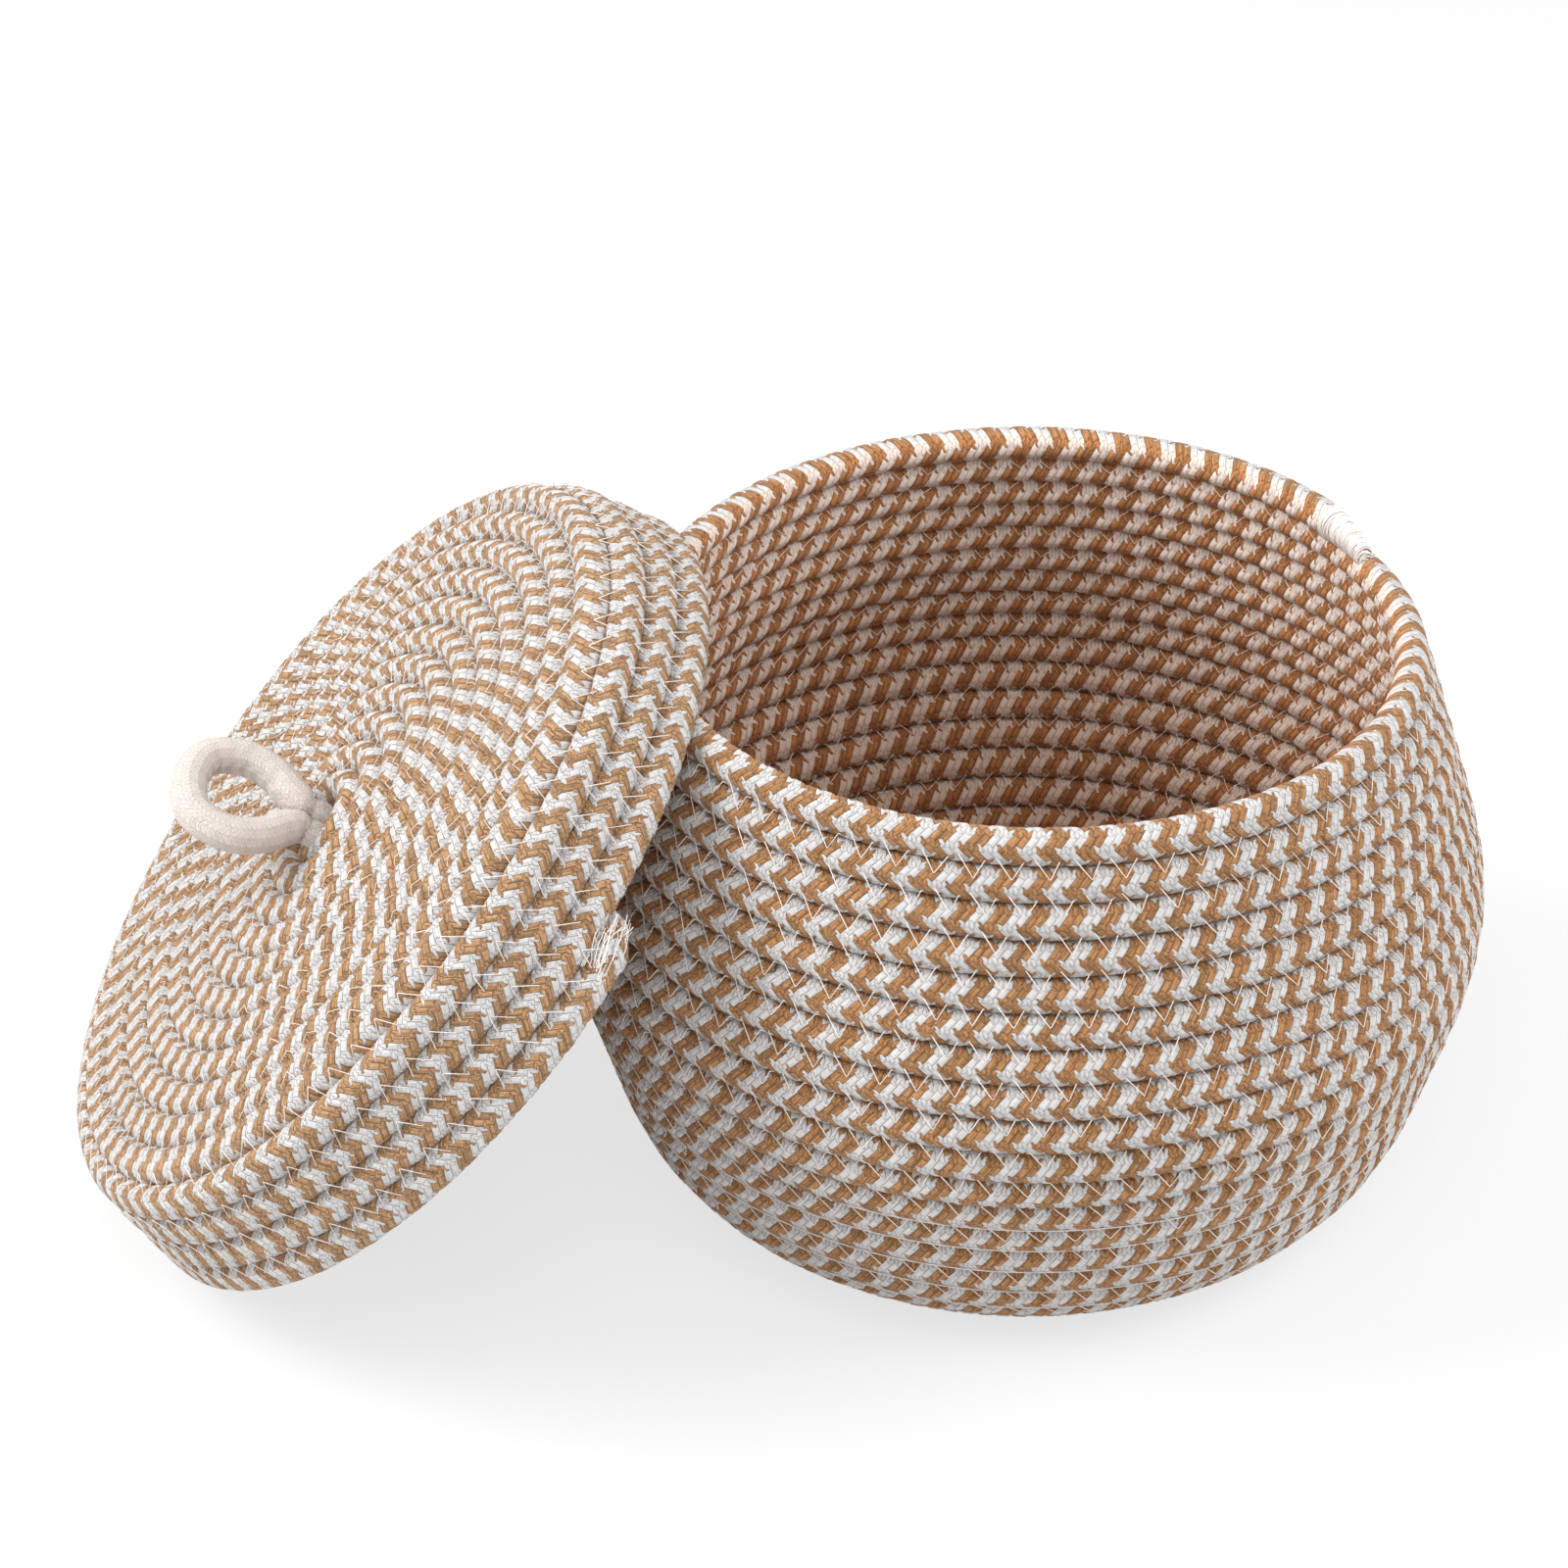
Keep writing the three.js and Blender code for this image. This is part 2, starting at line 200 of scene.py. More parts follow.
def braid_pattern() -> Group:
    """Makes the shader group that draws the braid's strands and yarns.

    The first UV coordinate counts columns round the rope, and the second braid periods along it.
    Each column has four strands in a period, and their ends reach between those of the next column.

    Returns:
        The group, with a mask of the pale strands, a height, a mask of painted shade in the gaps between
        strands and yarns, a fibre mask and a tone.
    """
    tree = new_group(
        "Braid Pattern",
        "ShaderNodeTree",
        [
            ("UV", VECTOR, None),
            ("Yarns", FLOAT, 4.0),
            ("Reach", FLOAT, 0.27),
            ("Fray", FLOAT, 0.05),
            ("Slant", FLOAT, 0.34),
        ],
        [("Pale", FLOAT), ("Height", FLOAT), ("Gap", FLOAT), ("Fibre", FLOAT), ("Tone", FLOAT)],
    )
    start = tree.add("NodeGroupInput").outputs
    # A fine wobble frays the edges of the strands
    place = tree.add("ShaderNodeTexCoord").outputs["Object"]
    wobble = tree.add("ShaderNodeTexNoise", {"Vector": place, "Scale": 700.0, "Detail": 1.0})
    drift = tree.add("ShaderNodeSeparateColor", {"Color": wobble.outputs["Color"]}).outputs
    uv = tree.add("ShaderNodeSeparateXYZ", {"Vector": start["UV"]}).outputs
    along = tree.plus(uv[1], tree.times(tree.minus(drift[0], 0.5), start["Fray"]))
    off_round = tree.times(tree.minus(drift[1], 0.5), tree.times(start["Fray"], 4.0))
    round_at = tree.plus(uv[0], off_round)
    # Strand ends cross the nearest column edge by turns, and run on straight there
    border = tree.math("ROUND", round_at)
    side = tree.signed(tree.math("PINGPONG", border, 1.0))
    past = tree.math("ABSOLUTE", tree.minus(round_at, border))
    lean = tree.times(tree.times(past, side), tree.times(start["Slant"], 2.0))
    straight = tree.minus(along, lean)
    wave = tree.times(tree.math("COSINE", tree.times(straight, 2.0 * STRANDS * math.pi)), 1.7)
    tooth = tree.math("MINIMUM", tree.math("MAXIMUM", wave, -1.0), 1.0)
    column = tree.plus(round_at, tree.times(tree.times(tooth, side), start["Reach"]))
    row = tree.math("FLOOR", column)
    across = tree.minus(column, row)
    crossed = tree.math("ABSOLUTE", tree.minus(tree.math("FLOOR", round_at), row))
    along = tree.minus(along, tree.times(lean, tree.math("MINIMUM", crossed, 1.0)))
    # Two pale and two dark strands follow each other, half a strand on in the next column
    offset = tree.times(tree.math("PINGPONG", row, 1.0), 0.5)
    strand_at = tree.plus(tree.times(along, STRANDS), offset)
    strand = tree.math("FLOOR", strand_at)
    within = tree.minus(strand_at, strand)
    cycle = tree.math("FRACT", tree.times(tree.plus(strand, 0.5), 1.0 / STRANDS))
    pale = tree.math("LESS_THAN", cycle, 0.5)
    bulge = tree.arch(tree.signed(within))
    off_centre = tree.math("ABSOLUTE", tree.signed(across))
    end = tree.minus(1.0, tree.math("POWER", off_centre, 3.0))
    # Yarns lie side by side in a strand, and fibres run along them
    yarn_at = tree.times(within, start["Yarns"])
    ridge = tree.arch(tree.signed(tree.math("FRACT", yarn_at)))
    streak = {"X": tree.times(uv[0], 4.0), "Y": tree.times(along, 90.0), "Z": row}
    streak_at = tree.add("ShaderNodeCombineXYZ", streak).outputs[0]
    grain = {"Vector": streak_at, "Scale": 1.0, "Detail": 2.0, "Roughness": 0.6}
    fibre = tree.add("ShaderNodeTexNoise", grain).outputs[0]
    mark = tree.plus(tree.times(strand, start["Yarns"]), tree.math("FLOOR", yarn_at))
    mark_at = tree.add("ShaderNodeCombineXYZ", {"X": row, "Y": mark, "Z": 0.0}).outputs[0]
    tone = tree.add("ShaderNodeTexWhiteNoise", {"Vector": mark_at}, noise_dimensions="2D").outputs[0]
    # Height, and painted shade in the gaps between strands, at strand ends and between yarns
    body = tree.times(tree.math("SQRT", bulge), tree.plus(tree.times(end, 0.7), 0.3))
    fine = tree.plus(tree.times(ridge, 0.22), tree.times(fibre, 0.2))
    edge = tree.times(tree.remap(bulge, 0.0, 0.5), tree.remap(end, 0.0, 0.5))
    line = tree.remap(ridge, 0.0, 0.7, 0.58, 1.0)
    gap = tree.minus(1.0, tree.times(edge, line))
    outputs = {"Pale": pale, "Height": tree.plus(body, fine), "Gap": gap, "Fibre": fibre, "Tone": tone}
    tree.add("NodeGroupOutput", outputs)
    return tree.tree


def painted_inside_light_pattern() -> Group:
    """Makes the shader group that finds the rope's side that faces into the basket, where light and shade
    are painted.

    Returns:
        The group, with a mask of that side, where bounce light and shade are painted, and one that grows
        towards the bottom of the inside, where shade is painted.
    """
    tree = new_group(
        "Painted Inside Light",
        "ShaderNodeTree",
        [("UV", VECTOR, None), ("Top", FLOAT, 0.15), ("Bottom", FLOAT, 0.02)],
        [("Mask", FLOAT), ("Depth", FLOAT)],
    )
    start = tree.add("NodeGroupInput").outputs
    column = tree.add("ShaderNodeSeparateXYZ", {"Vector": start["UV"]}).outputs[0]
    # Mask of the inner side, where light is painted, and the share of painted shade that grows towards the
    # bottom of the inside
    inner = tree.times(tree.remap(column, *INNER_START), tree.remap(column, *INNER_END, 1.0, 0.0))
    place = tree.add("ShaderNodeTexCoord").outputs["Object"]
    level = tree.add("ShaderNodeSeparateXYZ", {"Vector": place}).outputs[2]
    depth = tree.remap(level, start["Bottom"], start["Top"], 1.0, 0.0)
    tree.add("NodeGroupOutput", {"Mask": inner, "Depth": tree.times(inner, depth)})
    return tree.tree


def thread_pattern() -> Group:
    """Makes the shader group for spun thread: a fine mottle for its colour and height."""
    tree = new_group("Spun Thread", "ShaderNodeTree", [("Scale", FLOAT, 2500.0)], [("Mottle", FLOAT)])
    scale = tree.add("NodeGroupInput").outputs["Scale"]
    place = tree.add("ShaderNodeTexCoord").outputs["Object"]
    mottle = tree.add("ShaderNodeTexNoise", {"Vector": place, "Scale": scale, "Detail": 2.0})
    tree.add("NodeGroupOutput", {"Mottle": mottle.outputs[0]})
    return tree.tree


@dataclass(frozen=True)
class BraidFinish:
    """A braid of pale and dark strands, with colours in linear light, and with painted light and shade on
    the rope's inner side and in the gaps between strands.
    """

    name: str
    pale: Colour
    pale_low: Colour
    dark: Colour
    dark_low: Colour
    # Painted light and shade on the rope's inner side: a warm, brighter tint for bounce light, a tint for
    # painted shade towards the bottom of the inside, and a darkening of the dark strands there
    inner: Colour = (1.0, 1.0, 1.0)
    bottom_painted_shade: Colour = (1.0, 1.0, 1.0)
    inside_painted_shade: float = 0.86
    pale_even: float = 0.75
    # Painted shade in the gaps is this much lighter over pale strands
    pale_gap_shade: float = 0.2
    yarns: float = 4.0
    fray: float = 0.05
    slant: float = 0.34
    bump: float = 0.45
    gap_shade: float = 0.52
    tones: tuple[float, float] = (0.7, 1.25)

    def build(self, braid_group: Group, painted_inside_light_group: Group) -> Material:
        """Makes the material.

        Args:
            braid_group: The braid pattern's shader group.
            painted_inside_light_group: The shader group that finds the inner side.

        Returns:
            The material.
        """
        material, tree = new_material(self.name)
        uv = tree.add("ShaderNodeUVMap", uv_map="braid").outputs[0]
        inputs = {"UV": uv, "Yarns": self.yarns, "Fray": self.fray, "Slant": self.slant}
        braid = tree.add("ShaderNodeGroup", inputs, node_tree=braid_group).outputs
        painted_inside_light = tree.add("ShaderNodeGroup", {"UV": uv}, node_tree=painted_inside_light_group).outputs
        fibre = tree.remap(braid["Fibre"], 0.35, 0.65)
        light = tree.mix(fibre, (*self.pale_low, 1.0), (*self.pale, 1.0))
        heavy = tree.mix(fibre, (*self.dark_low, 1.0), (*self.dark, 1.0))
        # Painted shade: the dark strands are darker on the rope's inner side
        heavy = tree.bright(heavy, tree.remap(painted_inside_light["Mask"], 0.0, 1.0, 1.0, self.inside_painted_shade))
        colour = tree.mix(braid["Pale"], heavy, light)
        even = tree.times(braid["Pale"], self.pale_even)
        uneven = tree.times(tree.remap(braid["Tone"], 0.0, 1.0, *self.tones), tree.minus(1.0, even))
        colour = tree.bright(colour, tree.plus(uneven, even))
        # Painted shade in the gaps between strands and yarns, lighter over pale strands
        darkest_gap_shade = tree.plus(tree.times(braid["Pale"], self.pale_gap_shade), self.gap_shade)
        colour = tree.bright(colour, tree.remap(braid["Gap"], 0.0, 1.0, 1.0, darkest_gap_shade))
        # Painted light and shade inside the basket: a warm, brighter bounce light on the inner side, and
        # painted shade towards the bottom of the inside
        painted_light_tint = tree.mix(painted_inside_light["Mask"], WHITE, (*self.inner, 1.0))
        painted_light_tint = tree.mix(painted_inside_light["Depth"], painted_light_tint, (*self.bottom_painted_shade, 1.0))
        relief = {"Height": braid["Height"], "Strength": 1.0, "Distance": self.bump * MM}
        bump = tree.add("ShaderNodeBump", relief)
        shader = tree.add(
            "ShaderNodeBsdfPrincipled",
            {
                "Base Color": tree.mix(1.0, colour, painted_light_tint, "MULTIPLY"),
                "Roughness": 0.8,
                "Specular IOR Level": 0.3,
                "Sheen Weight": 0.1,
                "Normal": bump.outputs[0],
            },
        )
        tree.add("ShaderNodeOutputMaterial", {"Surface": shader.outputs[0]})
        return material


@dataclass(frozen=True)
class ThreadFinish:
    """Spun sewing thread, with colours in linear light."""

    name: str
    colour: Colour
    low: Colour

    def build(self, group: Group) -> Material:
        """Makes the material from the spun thread's shader group."""
        material, tree = new_material(self.name)
        mottle = tree.add("ShaderNodeGroup", node_tree=group).outputs["Mottle"]
        colour = tree.mix(mottle, (*self.low, 1.0), (*self.colour, 1.0))
        bump = tree.add("ShaderNodeBump", {"Height": mottle, "Strength": 0.5, "Distance": 0.05 * MM})
        shader = tree.add(
            "ShaderNodeBsdfPrincipled",
            {"Base Color": colour, "Roughness": 0.55, "Sheen Weight": 0.1, "Normal": bump.outputs[0]},
        )
        tree.add("ShaderNodeOutputMaterial", {"Surface": shader.outputs[0]})
        return material


# Geometry node trees


def end_tree(tree: Tree, geometry: Socket, material: Socket) -> Group:
    """Ends a geometry tree with smooth faces, real geometry, its material and the output."""
    smooth = tree.add("GeometryNodeSetShadeSmooth", {"Geometry": geometry})
    real = tree.add("GeometryNodeRealizeInstances", {"Geometry": smooth.outputs[0]})
    dressed = tree.add("GeometryNodeSetMaterial", {"Geometry": real.outputs[0], "Material": material})
    tree.add("NodeGroupOutput", {"Geometry": dressed.outputs[0]})
    return tree.tree


def relief_tree() -> Group:
    """Makes the tree that raises the strands of a braided tube along its normals."""
    tree = new_group(
        "Braid Relief",
        "GeometryNodeTree",
        [
            ("Geometry", "NodeSocketGeometry", None),
            ("Strand Depth", FLOAT, 0.0004),
            ("Yarn Depth", FLOAT, 0.0001),
            ("Column Depth", FLOAT, 0.0002),
            ("Unevenness", FLOAT, 0.0002),
            ("Seed", FLOAT, 0.0),
            ("Material", "NodeSocketMaterial", None),
        ],
        [("Geometry", "NodeSocketGeometry")],
    )
    start = tree.add("NodeGroupInput").outputs
    period, column = (
        tree.add("GeometryNodeInputNamedAttribute", {"Name": label}, data_type="FLOAT").outputs[0]
        for label in ("period", "column")
    )
    wave = tree.math("COSINE", tree.times(period, 4.0 * math.pi))
    strand = tree.times(tree.math("MAXIMUM", wave, 0.0), start["Strand Depth"])
    yarn = tree.times(tree.math("MAXIMUM", tree.times(wave, -1.0), 0.0), start["Yarn Depth"])
    fold = tree.math("COSINE", tree.times(column, 2.0 * math.pi))
    dip = tree.times(tree.math("MAXIMUM", fold, 0.0), start["Column Depth"])
    depth = tree.plus(tree.plus(strand, yarn), dip)
    place = tree.add("GeometryNodeInputPosition").outputs[0]
    lumps = {"Vector": place, "W": start["Seed"], "Scale": 210.0, "Detail": 1.0}
    noise = tree.add("ShaderNodeTexNoise", lumps, noise_dimensions="4D").outputs[0]
    rough = tree.times(tree.minus(noise, 0.5), start["Unevenness"])
    move = tree.add("ShaderNodeVectorMath", operation="SCALE")
    tree.put(move.inputs[0], tree.add("GeometryNodeInputNormal").outputs[0])
    tree.put(move.inputs["Scale"], tree.minus(rough, depth))
    moved = tree.add("GeometryNodeSetPosition", {"Geometry": start["Geometry"], "Offset": move.outputs[0]})
    return end_tree(tree, moved.outputs[0], start["Material"])


def strand_tree() -> Group:
    """Makes the tree that turns guide edges into round threads."""
    tree = new_group(
        "Thread Strands",
        "GeometryNodeTree",
        [
            ("Geometry", "NodeSocketGeometry", None),
            ("Radius", FLOAT, 0.0002),
            ("Sides", "NodeSocketInt", 5),
            ("Material", "NodeSocketMaterial", None),
        ],
        [("Geometry", "NodeSocketGeometry")],
    )
    start = tree.add("NodeGroupInput").outputs
    curve = tree.add("GeometryNodeMeshToCurve", {"Mesh": start["Geometry"]}).outputs[0]
    circle = {"Resolution": start["Sides"], "Radius": start["Radius"]}
    ring = tree.add("GeometryNodeCurvePrimitiveCircle", circle).outputs[0]
    sweep = {"Curve": curve, "Profile Curve": ring, "Fill Caps": True}
    tube = tree.add("GeometryNodeCurveToMesh", sweep).outputs[0]
    return end_tree(tree, tube, start["Material"])


@dataclass
class Kit:
    """The materials and node trees that all pieces share."""

    rope: Material
    lid_rope: Material
    cord: Material
    thread: Material
    relief: Group
    strands: Group


def new_object(name: str, data: bpy.types.ID) -> Piece:
    """Makes an object of its data and links it to the scene."""
    made = bpy.data.objects.new(name, data)
    bpy.context.scene.collection.objects.link(made)
    return made


def grow(name: str, mesh: Mesh, tree: Group, inputs: dict) -> Piece:
    """Runs a geometry node tree on a mesh and keeps the result as a plain mesh.

    Args:
        name: The piece's name.
        mesh: The mesh that the tree starts from.
        tree: The geometry node tree.
        inputs: Socket name to value.

    Returns:
        The piece, at the origin, with no modifier left.
    """
    piece = new_object(name, mesh)
    modifier = piece.modifiers.new("grow", "NODES")
    modifier.node_group = tree
    sockets = {s.name: s.identifier for s in tree.interface.items_tree if s.in_out == "INPUT"}
    for label, value in inputs.items():
        modifier[sockets[label]] = value
    ready = piece.evaluated_get(bpy.context.evaluated_depsgraph_get())
    made = bpy.data.meshes.new_from_object(ready)
    piece.modifiers.clear()
    piece.data = made
    made.name = name
    bpy.data.meshes.remove(mesh)
    return piece


def finish_piece(piece: Piece, body: Body, slot: Slot, *nodes: str) -> None:
    """Puts a piece on its body, in place of the solids it stands for, and reports it."""
    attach(piece, body.value)
    if nodes:
        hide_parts(*nodes)
    LOG.info("%s: %d faces on %s", piece.name, len(piece.data.polygons), body.value)


# Shapes


def spline(points: Sequence[Sequence[float]], per_span: int) -> Array:
    """Samples a centripetal Catmull-Rom curve, as the solids' source does.

    Args:
        points: The points that the curve passes through.
        per_span: Samples in each span.

    Returns:
        The samples, one row each.
    """
    knots = np.array(points, float)
    knots = np.vstack([2 * knots[0] - knots[1], knots, 2 * knots[-1] - knots[-2]])
    out = []
    for i in range(1, len(knots) - 2):
        p0, p1, p2, p3 = knots[i - 1 : i + 3]
        d0, d1, d2 = (np.linalg.norm(b - a) ** 0.5 for a, b in ((p0, p1), (p1, p2), (p2, p3)))
        t1 = ((p1 - p0) / d0 - (p2 - p0) / (d0 + d1) + (p2 - p1) / d1) * d1
        t2 = ((p2 - p1) / d1 - (p3 - p1) / (d1 + d2) + (p3 - p2) / d2) * d1
        w = np.linspace(0, 1, per_span, endpoint=False)[:, None]
        c2, c3 = -3 * p1 + 3 * p2 - 2 * t1 - t2, 2 * p1 - 2 * p2 + t1 + t2
        out.append(p1 + t1 * w + c2 * w**2 + c3 * w**3)
    return np.vstack(out + [knots[-2:-1]])


def slow_noise(at: Array, span: float, seed: int) -> Array:
    """Returns a smooth random curve of about -1 to 1, with a new value every span."""
    values = np.random.default_rng(SEED + seed).uniform(-1, 1, int(at.max() / span) + 4)
    cell = np.floor(at / span).astype(int)
    share = at / span - cell
    share = share * share * (3 - 2 * share)
    return values[cell] * (1 - share) + values[cell + 1] * share


def polyline_length(points: Array) -> Array:
    """Returns the length along a polyline at each point."""
    return np.concatenate([[0.0], np.cumsum(np.linalg.norm(np.diff(points, axis=0), axis=1))])


@dataclass
class Coil:
    """Rows of rope along a meridian, in millimetres."""

    meridian: Array
    end_angle: float
    turn_sign: int
    normal_sign: int
    place: Matrix
    core_radius: float
    floor: float = 0.0

    def __post_init__(self) -> None:
        """Tabulates the meridian and the rope's length against its turns."""
        self.arc = polyline_length(self.meridian)
        slopes = np.gradient(self.meridian, self.arc, axis=0)
        self.slopes = slopes / np.linalg.norm(slopes, axis=1)[:, None]
        self.turns = np.linspace(0, (self.arc[-1] - self.core_radius) / ROW_PITCH, 40000)
        radius = np.interp(self.turns * ROW_PITCH, self.arc, self.meridian[:, 0])
        step = np.hypot(2 * math.pi * radius, ROW_PITCH)
        self.run = np.concatenate([[0.0], np.cumsum((step[1:] + step[:-1]) / 2 * np.diff(self.turns))])

    def turns_at(self, run: Array) -> Array:
        """Returns the turns at lengths along the rope, also a little before its end."""
        return np.where(run < 0, run / self.run[1] * self.turns[1], np.interp(run, self.run, self.turns))

    def run_at(self, turns: float) -> float:
        """Returns the length along the rope at a number of turns."""
        return float(np.interp(turns, self.turns, self.run))

    def at(self, turns: Array, along: Array, out: Array, row: float = 0.0) -> Array:
        """Places points given about the rope's middle line.

        Args:
            turns: Turns from the rope's outer end.
            along: Distance down the meridian from the middle line.
            out: Distance outwards from the middle line.
            row: Rows further down the meridian at the same angle.

        Returns:
            The points in the part's frame, in millimetres.
        """
        where = np.clip((turns + row) * ROW_PITCH, 0, self.arc[-1])
        radius, height = (np.interp(where, self.arc, self.meridian[:, i]) for i in (0, 1))
        dr, dh = (np.interp(where, self.arc, self.slopes[:, i]) for i in (0, 1))
        radius = radius + along * dr - self.normal_sign * out * dh
        height = height + along * dh + self.normal_sign * out * dr
        angle = math.radians(self.end_angle) + self.turn_sign * 2 * math.pi * turns
        flat = np.stack([radius * np.cos(angle), radius * np.sin(angle), height], -1)
        turn = np.array(self.place)
        points = flat @ turn[:3, :3].T + turn[:3, 3]
        points[..., 2] = np.maximum(points[..., 2], self.floor)
        return points


@dataclass
class BraidedRope:
    """The braided rope of one coil, in millimetres."""

    coil: Coil
    kit: Kit
    material: Material
    tip: float
    period: float = 8.1
    slant: float = 0.34
    half_width: float = 4.3
    half_depth: float = 4.08
    rings: int = 8
    twist: float = 7.0
    twist_span: float = 29.0
    stretch: float = 0.35
    stretch_span: float = 17.0
    narrowest: float = 0.4
    nose: float = 2.2
    point: float = 0.01
    sink: float = 2.6
    sink_share: float = 0.45
    strand_depth: float = 0.3
    yarn_depth: float = 0.05
    column_depth: float = 0.12
    unevenness: float = 0.6

    def lattice(self) -> tuple[Array, Array, Array]:
        """Returns the angle, column coordinate and forward shift of each point round the rope."""
        angles, columns, shifts = [], [], []
        for i, ((start, ahead), steps) in enumerate(zip(COLUMN_EDGES, COLUMN_STEPS)):
            end, next_ahead = COLUMN_EDGES[(i + 1) % len(COLUMN_EDGES)]
            end += 360 if end < start else 0
            for k in range(steps):
                share = k / steps
                angles.append(start + (end - start) * share)
                columns.append(i + share)
                shifts.append(self.slant * (ahead + (next_ahead - ahead) * share))
        return np.radians(angles), np.array(columns), np.array(shifts)

    def thickness(self, run: Array) -> Array:
        """Returns the rope's share of its full size: it narrows outwards, and its ends are rounded."""
        taper = np.clip(1 + (1 - self.narrowest) * run / self.tip, self.narrowest, 1)
        outer = np.clip((run + self.tip) / self.nose, self.point, 1)
        inner = np.clip((self.coil.run[-1] - run) / self.nose, self.point, 1)
        return taper * np.sqrt(outer * inner)

    def around(self, run: Array, angle: Array, height: float = 0.0) -> tuple[Array, Array]:
        """Returns the way down the meridian and outwards to points at a height over the rope's surface.

        The narrowed rope stays on the next row, and its very end sinks into it.
        """
        thick = self.thickness(run)
        sink = np.clip(1 - (run + self.tip) / (self.sink_share * self.tip), 0, 1)
        middle = self.half_width * (1 - thick) + self.sink * sink * sink
        along = middle - (self.half_width * thick + height) * np.sin(angle)
        return along, (self.half_depth * thick + height) * np.cos(angle)

    def marks(self, splits: Sequence[float]) -> list[int]:
        """Returns the braid periods at some turns, and the last one of the rope."""
        total = int((self.coil.run[-1] + self.tip) / self.period)
        return [int(self.coil.run_at(turns) / self.period) for turns in splits] + [total]

    def build(self, name: str, first: int, last: int, seed: float) -> Piece:
        """Builds the rope between two braid periods.

        Args:
            name: The piece's name.
            first: First period, counted from the rope's outer end.
            last: Last period.
            seed: Seed of the unevenness.

        Returns:
            The piece.
        """
        angle, column, shift = self.lattice()
        ring = np.arange(first * self.rings, last * self.rings + 1) / self.rings
        drift = slow_noise(ring, self.stretch_span, 5)
        sway = np.radians(self.twist) * slow_noise(ring, self.twist_span, 6)
        run = (ring[:, None] + shift[None, :] + self.stretch * drift[:, None]) * self.period - self.tip
        along, out = self.around(run, angle[None, :] + sway[:, None])
        points = self.coil.at(self.coil.turns_at(np.minimum(run, self.coil.run[-1])), along, out)
        mesh = tube_mesh(name, points, column, ring - first, len(COLUMN_EDGES))
        depths = {
            "Strand Depth": self.strand_depth * MM,
            "Yarn Depth": self.yarn_depth * MM,
            "Column Depth": self.column_depth * MM,
            "Unevenness": self.unevenness * MM,
        }
        return grow(name, mesh, self.kit.relief, depths | {"Seed": seed, "Material": self.material})


def tube_mesh(name: str, points: Array, column: Array, period: Array, columns: int) -> Mesh:
    """Makes a closed tube with its braid coordinates.

    Args:
        name: The mesh's name.
        points: Rings of points in millimetres, as an array of ring, point and axis.
        column: Column coordinate of each point of a ring.
        period: Braid period of each ring.
        columns: Columns round the tube.

    Returns:
        The mesh, in metres, with faces outwards, a UV map and two point attributes.
    """
    rings, sides = points.shape[:2]
    index = np.arange(rings * sides).reshape(rings, sides)
    a, b = index[:-1], np.roll(index, -1, 1)[:-1]
    quads = np.stack([a, b, b + sides, a + sides], -1).reshape(-1, 4)
    uv_u = np.stack([column, np.append(column[1:], columns)], -1)
    u = np.broadcast_to(uv_u[:, [0, 1, 1, 0]], (rings - 1, sides, 4))
    v = np.stack([period[:-1], period[:-1], period[1:], period[1:]], -1)[:, None, :]
    v = np.broadcast_to(v, (rings - 1, sides, 4))
    uv = np.stack([u, v], -1).reshape(-1, 2)
    corner, beside, ahead = points[0, 0], points[0, 1], points[1, 0]
    if np.dot(np.cross(beside - corner, ahead - corner), corner - points[0].mean(0)) < 0:
        quads = quads[:, ::-1]
        uv = uv.reshape(-1, 4, 2)[:, ::-1].reshape(-1, 2)
    caps = [list(index[0]), list(index[-1])]
    if np.array_equal(quads[0, :2], [index[0, 0], index[0, 1]]):
        caps[0].reverse()
    else:
        caps[1].reverse()
    mesh = bpy.data.meshes.new(name)
    mesh.vertices.add(rings * sides)
    mesh.vertices.foreach_set("co", (points.reshape(-1, 3) * MM).ravel())
    loops = np.concatenate([quads.ravel(), *[np.array(c) for c in caps]])
    starts = np.concatenate([np.arange(0, quads.size, 4), [quads.size, quads.size + sides]])
    mesh.loops.add(len(loops))
    mesh.loops.foreach_set("vertex_index", loops)
    mesh.polygons.add(len(starts))
    mesh.polygons.foreach_set("loop_start", starts)
    mesh.update(calc_edges=True)
    layer = mesh.uv_layers.new(name="braid")
    cap_uv = np.tile(np.array([[0.5, 0.06]]), (2 * sides, 1))
    layer.data.foreach_set("uv", np.vstack([uv, cap_uv]).ravel())
    for label, values in (("column", np.tile(column, rings)), ("period", np.repeat(period, sides))):
        mesh.attributes.new(label, "FLOAT", "POINT").data.foreach_set("value", values)
    mesh.validate()
    return mesh


def guide_mesh(name: str, lines: Sequence[Array]) -> Mesh:
    """Makes a mesh of edges only, from lines of points in millimetres."""
    points = np.vstack(lines) * MM
    edges, base = [], 0
    for line in lines:
        index = np.arange(base, base + len(line))
        edges.append(np.stack([index[:-1], index[1:]], -1))
        base += len(line)
    mesh = bpy.data.meshes.new(name)
    mesh.from_pydata(points.tolist(), np.vstack(edges).tolist(), [])
    return mesh


def thread(name: str, lines: Sequence[Array], radius: float, kit: Kit, sides: int = 5) -> Piece:
    """Makes round threads along lines of points, all in millimetres."""
    inputs = {"Radius": radius * MM, "Sides": sides, "Material": kit.thread}
    return grow(name, guide_mesh(name, lines), kit.strands, inputs)


